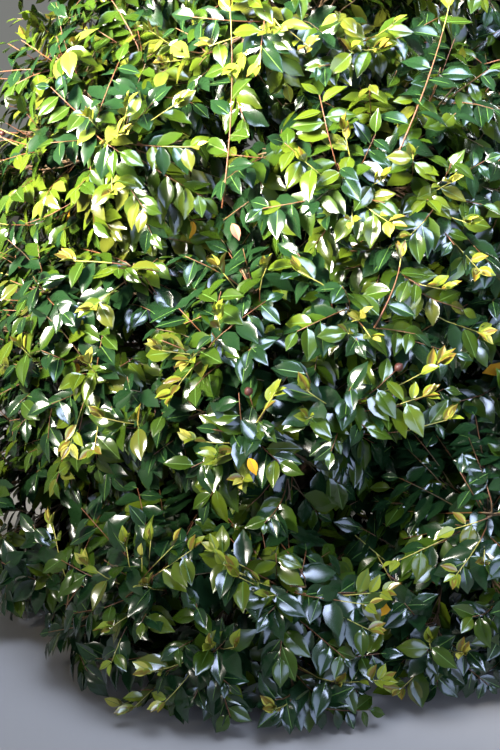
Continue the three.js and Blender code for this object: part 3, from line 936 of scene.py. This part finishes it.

# %% [markdown]
# ## Leaves on the shoots
#
# Leaves stand alternately on both sides of a shoot. Each points along and away from it, hangs a little under
# its own weight, and turns its upper face to the light, outwards and up. Where a leaf would leave the space
# of its mass it is made smaller, and where that doesn't help it is left out, as in the solids. Leaves deep
# in the crown stand in the shade, so they are made of fewer faces.

# %% The age of a leaf, with painted shade low down and painted light high up
# Painted shade and painted light: low tiers lean to darker ages, high tiers and the lit left side to lighter
# ones.
PAINTED_SHADE_AND_LIGHT = dict(skirt=-0.30, waist=-0.20, shoulder=-0.06, upper=0.05, top=0.08)
PAINTED_SUN_LEAN, AGE_OF_SHOOT, AGE_STRAY, BESIDE_NEW = 0.14, 0.85, 0.34, 0.4
AGE_LIMITS = (("deep", 0.30), ("mature", 0.60), ("full", 0.88), ("olive", 1.10))
YELLOWED_SHARE = 0.001


def age_and_painted_light_of(mass, seed, place, new_leaves):
    """New at the tip of a fresh shoot, and otherwise the shoot's own age, now and then a step off it. The age
    leans darker in low tiers and lighter in high ones and on the lit left side: painted shade and painted
    light.
    """
    if place < new_leaves:
        return "newest" if place < new_leaves // 2 and chance(mass.key, seed, 41) < 0.5 else "young"
    # Painted shade and light: the tier's lean and the lean towards the lit left side shift the age.
    own = AGE_OF_SHOOT * chance(mass.key, seed, 42) + PAINTED_SHADE_AND_LIGHT[mass.tier] - PAINTED_SUN_LEAN * mass.heart[0]
    own += AGE_STRAY * stray(mass.key, seed, place, 43)
    if chance(mass.key, seed, place, 44) < YELLOWED_SHARE:
        return "yellowed"
    if place < new_leaves + 2 and new_leaves:
        own += BESIDE_NEW
    for age, limit in AGE_LIMITS:
        if own < limit:
            return age
    return "light"


print("ages along one shoot:", [age_and_painted_light_of(masses[0], 0, place, 2) for place in range(6)])

# %% One shoot's leaves
NEW_GAPS, GAP_VARIES, BARE_FOOT, CAPSULE_ROOM = (0.026, 0.006), (0.75, 1.25), 0.05, 0.02
LEAF_LENGTHS, NEW_LEAF_LENGTHS = (0.044, 0.108), (0.038, 0.066)
SIZE_LEAST, SIZE_BY_PLACE, SIZE_OWN, SIZE_OF_SHOOT = 0.05, 0.11, 0.42, 0.38
SUNNY_SIZE = dict(skirt=1.0, waist=0.98, shoulder=0.92, upper=0.86, top=0.86)
LIGHT_FROM = np.array((-0.35, -0.1, 1.0))
OUTWARD_PULL, LIGHT_PULL, LIGHT_PULL_NEW = 0.42, 0.5, 0.75
OPEN_ANGLE, OPEN_ANGLE_NEW, OPEN_STRAY, TIP_CLOSED = 56, 34, 14, 0.25
DROOP_LEAST, DROOP_STRAY, NEW_LIFT = 0.16, 0.62, 0.30
LEAF_STRAY, FACING_STRAY = 0.26, 0.38


def leaf_rows(twig):
    """Leaves from the tip inwards: each one's root, direction, upper side, length, shape and age."""
    mass, seed = twig.mass, twig.seed
    run = np.concatenate(([0], np.cumsum(np.linalg.norm(np.diff(twig.path, axis=0), axis=1))))
    rows, back = [], run[-1] - (CAPSULE_ROOM if twig.has_capsule else 0)
    for place in range(twig.leaf_count):

        def luck(kind):
            return chance(mass.key, seed, place, kind)

        def strays(kind):
            return np.array([stray(mass.key, seed, place, kind + k) for k in range(3)])

        def along(step):
            return np.array([np.interp(back + step, run, twig.path[:, i]) for i in range(3)])

        is_new = place < twig.new_leaves
        gap = NEW_GAPS[place < 4] if is_new else twig.leaf_gap
        back -= gap * lerp(*GAP_VARIES, luck(51)) if place else 0
        if back < BARE_FOOT * run[-1]:
            break
        root, way = along(0), unit(along(0.01) - along(-0.01))
        outward = unit(root - mass.heart) + unit(np.array((root[0], root[1], 0.3)))
        facing = unit(OUTWARD_PULL * outward + (LIGHT_PULL_NEW if is_new else LIGHT_PULL) * LIGHT_FROM)
        side = unit(np.cross(way, facing)) * (1 if place % 2 else -1)
        opened = (OPEN_ANGLE_NEW if is_new else OPEN_ANGLE) + OPEN_STRAY * (2 * luck(52) - 1)
        opened = math.radians(opened) * (TIP_CLOSED if place == 0 else 1)
        direction = way * math.cos(opened) + side * math.sin(opened) + LEAF_STRAY * strays(53)
        direction[2] += NEW_LIFT if is_new else -DROOP_STRAY * luck(56) - DROOP_LEAST
        direction = unit(direction)
        facing = facing + FACING_STRAY * strays(57)
        facing = unit(facing - direction * (facing @ direction))
        size = SIZE_LEAST + SIZE_BY_PLACE * min(place, 4) + SIZE_OWN * luck(60)
        size = min(1, size + SIZE_OF_SHOOT * chance(mass.key, seed, 62))
        length = lerp(*(NEW_LEAF_LENGTHS if is_new else LEAF_LENGTHS), size) * SUNNY_SIZE[mass.tier]
        is_fine = place < max(twig.fine_leaves, twig.new_leaves + 2 if twig.new_leaves else 0)
        shaded = SHADED_SHAPES if twig.fine_leaves else INNER_SHAPES
        shapes = NEW_SHAPES if is_new else MATURE_SHAPES if is_fine else shaded
        shape = shapes[int(luck(61) * len(shapes))]
        rows.append((root, direction, facing, length, shape, age_and_painted_light_of(mass, seed, place, twig.new_leaves)))
    return rows


print("leaves on the first shoot:", len(leaf_rows(twigs[LEADS + 1])))

# %% Which leaves stay
LEAF_SIZES_TRIED, TIP_DROP, WIDEST_AT, HALF_WIDTH = (1.0, 0.8, 0.62), 0.15, 0.45, 0.24
MINGLING, LEAF_LOWEST, LOWEST_HANG = 0.045, 0.016, 0.2


def in_crown(points, mingling, proud):
    """Which points lie inside the space of any mass."""
    return np.any([mass.holds(points, mingling, proud) for mass in masses], axis=0)


def keep_inside(holds, rows, proud):
    """Leaves that stay inside the space, some of them made smaller for it."""
    root, direction, facing = (np.array([row[k] for row in rows]) for k in range(3))
    across = np.cross(direction, facing)
    length = np.array([row[3] for row in rows])
    kept = np.zeros(len(rows), bool)
    for smaller in LEAF_SIZES_TRIED:
        trial = (length * smaller)[:, None]
        spots = [root + (direction - TIP_DROP * facing) * trial]
        for aside in (-HALF_WIDTH, HALF_WIDTH):
            spots.append(root + (WIDEST_AT * direction + aside * across) * trial)
        inside = [holds(spot, MINGLING, proud) & (spot[:, 2] > LEAF_LOWEST) for spot in spots]
        fits = np.all(inside, axis=0) & ~kept
        length[fits] *= smaller
        kept |= fits
    return [(*row[:3], size, *row[4:]) for row, size, keep in zip(rows, length, kept) if keep]


def is_above_ground(row):
    root, direction, length = row[0], row[1], row[3]
    return root[2] + length * (direction[2] - LOWEST_HANG) > LEAF_LOWEST


first_rows = leaf_rows(twigs[LEADS + 1])
print("of these stay:", len(keep_inside(masses[0].holds, first_rows, 0)))

# %% Deal out the leaves, and end each twig just past its outermost one
CUT_PAST_LEAF = 0.03


def cut_back(twig, root):
    shares = np.linspace(0, 1, 41)
    nearest = shares[np.argmin(np.linalg.norm(at_share(twig.path, shares) - root, axis=1))]
    twig.path = at_share(twig.path, np.linspace(0, min(1, nearest + CUT_PAST_LEAF), len(twig.path)))


leaves = {mass.name: [] for mass in masses}
bare = []
for twig in twigs:
    rows = leaf_rows(twig)
    if twig.inside:
        leaves[twig.mass.name] += [row for row in rows if is_above_ground(row)]
    elif rows:
        holds = in_crown if twig.stands_free else twig.mass.holds
        kept = keep_inside(holds, rows, YOUNG_PROUD if twig.new_leaves else 0)
        leaves[twig.mass.name] += kept
        if not kept:
            bare.append(twig)
        elif not twig.has_capsule:
            cut_back(twig, kept[0][0])
twigs = [twig for twig in twigs if twig not in bare]
print("leaves:", sum(map(len, leaves.values())))

# %% Leave out the few leaves that would hide what shows
CLEAR_OF_NEW, CLEAR_BEHIND, TRUNK_DISTANCE = 0.036, 0.012, 4.2


def clear_of(places, rows):
    """Leaves without those that stand before one of the places, seen from the camera."""
    middles = np.array([row[0] + 0.5 * row[3] * row[1] for row in rows])
    hides = np.zeros(len(rows), bool)
    for place in places:
        outwards = unit(CAMERA_PLACE - place)
        offset = middles - place
        ahead = offset @ outwards
        aside = np.linalg.norm(offset - ahead[:, None] * outwards, axis=1)
        hides |= (ahead > -CLEAR_BEHIND) & (aside < CLEAR_OF_NEW)
    return [row for row, hidden in zip(rows, hides) if row[4] in NEW_SHAPES or not hidden]


seen_places = [at_share(twig.path, share) for twig in twigs if twig.stands_free for share in (0.84, 1.0)]
seen_places += [CAMERA_PLACE + ray_through(*spot) * TRUNK_DISTANCE for spot in TRUNK_SEEN]
seen_places += [on_crown(x, y, 0.0)[1] for x, y, _ in ODD_LEAVES_SEEN]
for mass in masses:
    leaves[mass.name] = clear_of(seen_places, leaves[mass.name])
print("leaves that are left:", sum(map(len, leaves.values())))

# %% Hang the two dying leaves
ODD_LEAF_LENGTH, ODD_LEAF_SHAPE, ODD_LEAF_HANGS = 0.055, 1, 0.03

for x, y, age in ODD_LEAVES_SEEN:
    mass, place = on_crown(x, y, 0.0)
    hanging, facing = unit(np.array((0.5, -0.2, -1.0))), unit(np.array((0.1, -1.0, 0.3)))
    facing = unit(facing - hanging * (facing @ hanging))
    root = place - ODD_LEAF_HANGS * hanging
    leaves[mass.name].append((root, hanging, facing, ODD_LEAF_LENGTH, ODD_LEAF_SHAPE, age))
    print(age, "leaf at", place.round(3))


# %% Meshes from arrays
def mesh_from(name, corners, faces, finish_index):
    """A mesh object from arrays of corners and of faces that all have the same number of corners."""
    mesh = bpy.data.meshes.new(name)
    sides = faces.shape[1]
    mesh.vertices.add(len(corners))
    mesh.vertices.foreach_set("co", corners.astype(np.float32).ravel())
    mesh.loops.add(faces.size)
    mesh.loops.foreach_set("vertex_index", faces.astype(np.int32).ravel())
    mesh.polygons.add(len(faces))
    mesh.polygons.foreach_set("loop_start", np.arange(0, faces.size, sides, dtype=np.int32))
    mesh.polygons.foreach_set("material_index", finish_index.astype(np.int32))
    mesh.polygons.foreach_set("use_smooth", np.ones(len(faces), bool))
    mesh.update(calc_edges=True)
    mesh.validate()
    piece = bpy.data.objects.new(name, mesh)
    bpy.context.scene.collection.objects.link(piece)
    return piece


def leaves_piece(name, rows, finishes):
    """Leaves joined, with a material slot for each age and one each for midrib and blush."""
    corners, faces, finish_index, count = [], [], [], 0
    for shape_index, shape in enumerate(leaf_shapes):
        chosen = [row for row in rows if row[4] == shape_index]
        if not chosen:
            continue
        root, along, facing = (np.array([row[k] for row in chosen]) for k in range(3))
        length = np.array([row[3] for row in chosen])
        across = np.cross(along, facing)
        x, y, z = (shape.corners[:, k][None, :, None] for k in range(3))
        placed = x * across[:, None] + y * along[:, None] + z * facing[:, None]
        placed = root[:, None] + placed * length[:, None, None]
        corners.append(placed.reshape(-1, 3))
        starts = count + np.arange(len(chosen)) * len(shape.corners)
        faces.append((shape.faces[None] + starts[:, None, None]).reshape(-1, 3))
        count += placed.shape[0] * placed.shape[1]
        index = np.array([finishes.index(row[5]) for row in chosen])[:, None]
        index = index + np.zeros(len(shape.faces), int)
        if "midrib" in finishes:
            index[:, shape.is_midrib] = finishes.index("midrib")
        if shape_index == BLUSHING_SHAPE:
            index[:, shape.is_blush] = finishes.index("bronze")
        finish_index.append(index.ravel())
    return mesh_from(name, np.vstack(corners), np.vstack(faces), np.concatenate(finish_index))


def twigs_piece(name, chosen, sides=3):
    """Twigs of a tier joined: rings on each path, closed at both ends."""
    corners, faces, finish_index, count = [], [], [], 0
    turn = np.arange(sides) * 2 * math.pi / sides
    here = np.arange(sides)
    for twig in chosen:
        path, n = twig.path, len(twig.path)
        way = tangents(path)
        reference = np.array((1.0, 0, 0)) if abs(way[0][2]) > 0.8 else np.array((0, 0, 1.0))
        side = unit(np.cross(way, reference))
        front = np.cross(way, side)
        radius = np.linspace(*twig.radii, n)[:, None, None]
        ring = np.cos(turn)[None, :, None] * side[:, None] + np.sin(turn)[None, :, None] * front[:, None]
        corners.append((path[:, None] + ring * radius).reshape(-1, 3))
        low = np.arange(n - 1)[:, None] * sides
        first, second = low + here, low + (here + 1) % sides
        triangles = np.stack(((first, second, second + sides), (first, second + sides, first + sides)))
        triangles = triangles.transpose(2, 3, 0, 1).reshape(-1, 3)
        ends = [here[[0, k + 1, k]] for k in range(1, sides - 1)]
        ends += [(n - 1) * sides + here[[0, k, k + 1]] for k in range(1, sides - 1)]
        faces.append(np.vstack((triangles, ends)) + count)
        share = np.append(np.repeat((np.arange(n - 1) + 0.5) / (n - 1), 2 * sides), np.zeros(len(ends)))
        limits = np.array([limit for limit, _ in twig.finishes])
        names = [list(stem_finish).index(finish) for _, finish in twig.finishes]
        finish_index.append(np.array(names)[np.searchsorted(limits, share)])
        count += n * sides
    return mesh_from(name, np.vstack(corners), np.vstack(faces), np.concatenate(finish_index))


print("corners of the leaves:", [len(shape.corners) for shape in leaf_shapes])

# %% One piece for each kind of leaf in a tier, and one for its twigs
SEEN_AGES = ["deep", "mature", "full", "olive", "light", "yellowed", "withered", "midrib"]
SHADED_AGES = ["deep", "mature", "full", "olive", "light", "yellowed"]
NEW_AGES = ["young", "newest", "midrib", "bronze"]
for tier in TIERS:
    members = [mass for mass in masses if mass.tier == tier["name"]]
    nodes = [f"foliage_{mass.name}" for mass in members]
    slot = f"foliage_{tier['name']}"
    rows = [row for mass in members for row in leaves[mass.name]]
    for kind, shapes, ages in (
        ("mature_leaves", MATURE_SHAPES, SEEN_AGES),
        ("new_leaves", NEW_SHAPES, NEW_AGES),
        ("shaded_leaves", SHADED_SHAPES + INNER_SHAPES, SHADED_AGES),
    ):
        piece = leaves_piece(f"{kind}_{tier['name']}", [row for row in rows if row[4] in shapes], ages)
        finish_piece(piece, slot, nodes, *[leaf_finish[age] for age in ages])
    stems = twigs_piece(f"twigs_{tier['name']}", [twig for twig in twigs if twig.mass in members])
    finish_piece(stems, slot, nodes, *stem_finish.values())

# %% Hang the capsules
for tier in FRUITING_TIERS:
    hung = []
    for stalk in [twig for twig in twigs if twig.has_capsule and twig.mass.tier == tier]:
        way = Vector(unit(stalk.path[-1] - stalk.path[-2]))
        one = capsule_model.copy()
        one.data = capsule_model.data.copy()
        turn = Vector((0, 0, 1)).rotation_difference(way).to_matrix().to_4x4()
        middle = Vector(stalk.path[-1]) + way * CAPSULE_RADIUS * CAPSULE_SUNK
        one.data.transform(Matrix.Translation(middle) @ turn @ Matrix.Scale(CAPSULE_RADIUS, 4))
        bpy.context.scene.collection.objects.link(one)
        hung.append(one)
    fruit = join(hung, f"seed_capsules_{tier}")
    nodes = [f"foliage_{mass.name}" for mass in masses if mass.tier == tier]
    finish_piece(fruit, f"foliage_{tier}", nodes, capsule_skin, capsule_calyx)
bpy.data.objects.remove(capsule_model)

# %% [markdown]
# ## Floor and light
#
# The photograph was taken by daylight from the upper left. A large soft lamp stands there, a bluish one above
# the front stands for the open sky, and a dim one in front fills the shade low down. A wide one stands
# opposite, so that the far sides read as well, and a pale world fills what is left.

# %% Stage
apart()
bpy.ops.mesh.primitive_plane_add(size=120, location=(0, 0, 0))
floor = bpy.context.object
floor.name = "floor"
floor_finish, floor_skin = new_material("pale_floor")
floor_skin.inputs["Base Color"].default_value = linear("#aaa499")
floor_skin.inputs["Roughness"].default_value = 0.9
floor.data.materials.append(floor_finish)


def lamp(name, place, target, size, power, code, spread):
    """A round lamp that shines at a target, within a cone of so many degrees."""
    light = bpy.data.lights.new(name, "AREA")
    light.shape, light.size, light.energy, light.color = "DISK", size, power, linear(code)[:3]
    light.spread = math.radians(spread)
    holder = bpy.data.objects.new(name, light)
    holder.location = place
    holder.rotation_euler = (Vector(target) - Vector(place)).to_track_quat("-Z", "Y").to_euler()
    holder.visible_camera = False
    bpy.context.scene.collection.objects.link(holder)


lamp("daylight", (-2.7, -2.6, 3.5), (-0.6, -0.6, 2.55), 2.9, 405, "#fff8ec", 38)
lamp("open_sky", (0.9, -3.4, 5.6), (0.3, 0, 2.0), 3.2, 150, "#c8d8ff", 76)
lamp("front_fill", (1.5, -5.4, 1.3), (0.1, 0, 0.8), 3.6, 66, "#bccfff", 110)
lamp("far_fill", (4.6, 4.4, 4.5), (0, 0, 1.3), 4.0, 520, "#f4f6fa", 130)

world = bpy.data.worlds.new("pale_sky")
bpy.context.scene.world = world
world.use_nodes = True
sky = world.node_tree.nodes["Background"]
sky.inputs["Color"].default_value = linear("#eceee8")
sky.inputs["Strength"].default_value = 0.24
bpy.context.scene.view_settings.view_transform = "Standard"
print("lamps:", [light.name for light in bpy.data.lights])
